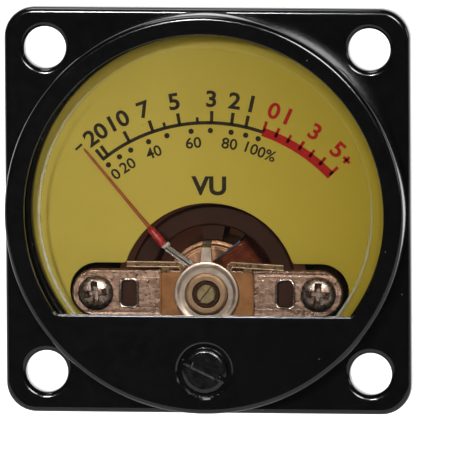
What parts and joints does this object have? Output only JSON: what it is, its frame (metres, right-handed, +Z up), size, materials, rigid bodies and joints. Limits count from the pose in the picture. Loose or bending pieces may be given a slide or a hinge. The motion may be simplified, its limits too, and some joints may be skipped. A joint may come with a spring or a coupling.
{
  "type": "panel level meter",
  "caption": "Square-flanged round panel meter with a clear window, yellow level scale, moving-coil movement, red pointer and slotted zero-adjust screw.",
  "frame": {"origin": "on the case axis, on the rear face of the flange, where it meets the panel", "axes": "+Y into the panel, away from the reader, +X to the reader's right, +Z up the dial"},
  "size_m": [0.035, 0.0255, 0.035],
  "materials": {
    "black_plastic": "glossy moulded black plastic",
    "clear_plastic": "clear moulded plastic",
    "dial_film": "translucent yellow printed dial",
    "nickel_plate": "mottled nickel plating on brass",
    "bronze": "phosphor bronze, lightly tarnished",
    "brass": "turned brass",
    "steel": "bright steel",
    "cast_zinc": "die-cast, dull grey",
    "magnet": "ground magnet face",
    "enamelled_copper": "enamelled copper wire",
    "aluminium": "thin bright aluminium",
    "red_paint": "red painted needle",
    "ruby": "synthetic ruby bearing",
    "pale_resin": "pale insulating moulding"
  },
  "bodies": {
    "case": {"housing": "black_plastic", "bezel_cap": "black_plastic", "window_lens": "clear_plastic", "lamp_bulb": "clear_plastic", "dial_plate": "dial_film", "front_bridge": "nickel_plate", "bridge_screw_left": "nickel_plate", "bridge_screw_right": "nickel_plate", "rear_bridge": "nickel_plate", "pointer_stop_spring": "bronze", "hairspring_rear": "bronze", "bridge_bush": "brass", "jewel_screw_front": "brass", "jewel_screw_rear": "brass", "jewel_nut_rear": "brass", "rear_spring_tab": "brass", "core_support_upper": "brass", "core_support_lower": "brass", "terminal_negative": "brass", "terminal_positive": "brass", "case_screw_left": "steel", "case_screw_right": "steel", "rear_bridge_screw_left": "steel", "rear_bridge_screw_right": "steel", "lamp_pin_left": "steel", "lamp_pin_right": "steel", "movement_frame": "cast_zinc", "yoke_ring": "cast_zinc", "core_magnet": "magnet", "frame_lead": "enamelled_copper", "spring_lead": "enamelled_copper", "jewel_front": "ruby", "jewel_rear": "ruby", "lamp_holder": "pale_resin", "spring_tab_washer": "pale_resin"},
    "moving_coil": {"coil_winding": "enamelled_copper", "coil_bobbin": "aluminium", "front_pivot": "steel", "rear_pivot": "steel", "pointer_arm": "aluminium", "pointer": "red_paint", "balance_weight_tail": "brass", "balance_weight_left": "brass", "balance_weight_right": "brass"},
    "zero_screw": {"zero_screw": "black_plastic", "zero_screw_retainer": "steel"},
    "zero_lever": {"zero_lever": "nickel_plate", "hairspring_front": "bronze"}
  },
  "joints": [
    {"name": "pointer_swing", "type": "hinge", "parent": "case", "child": "moving_coil", "pos_m": [0, 0, -0.00705], "axis": [0, 1, 0], "range_deg": [-2, 88], "stiffness_Nm_per_rad": 0.000005},
    {"name": "zero_screw_turn", "type": "hinge", "parent": "case", "child": "zero_screw", "pos_m": [0, 0, -0.01345], "axis": [0, 1, 0], "range_deg": [-45, 45]},
    {"name": "zero_lever_swing", "type": "hinge", "parent": "case", "child": "zero_lever", "pos_m": [0, 0, -0.00705], "axis": [0, 1, 0], "range_deg": [-5.5, 5.5]}
  ],
  "couplings": [
    {"joint": "zero_lever_swing", "follows": "zero_screw_turn", "ratio": -0.12}
  ]
}
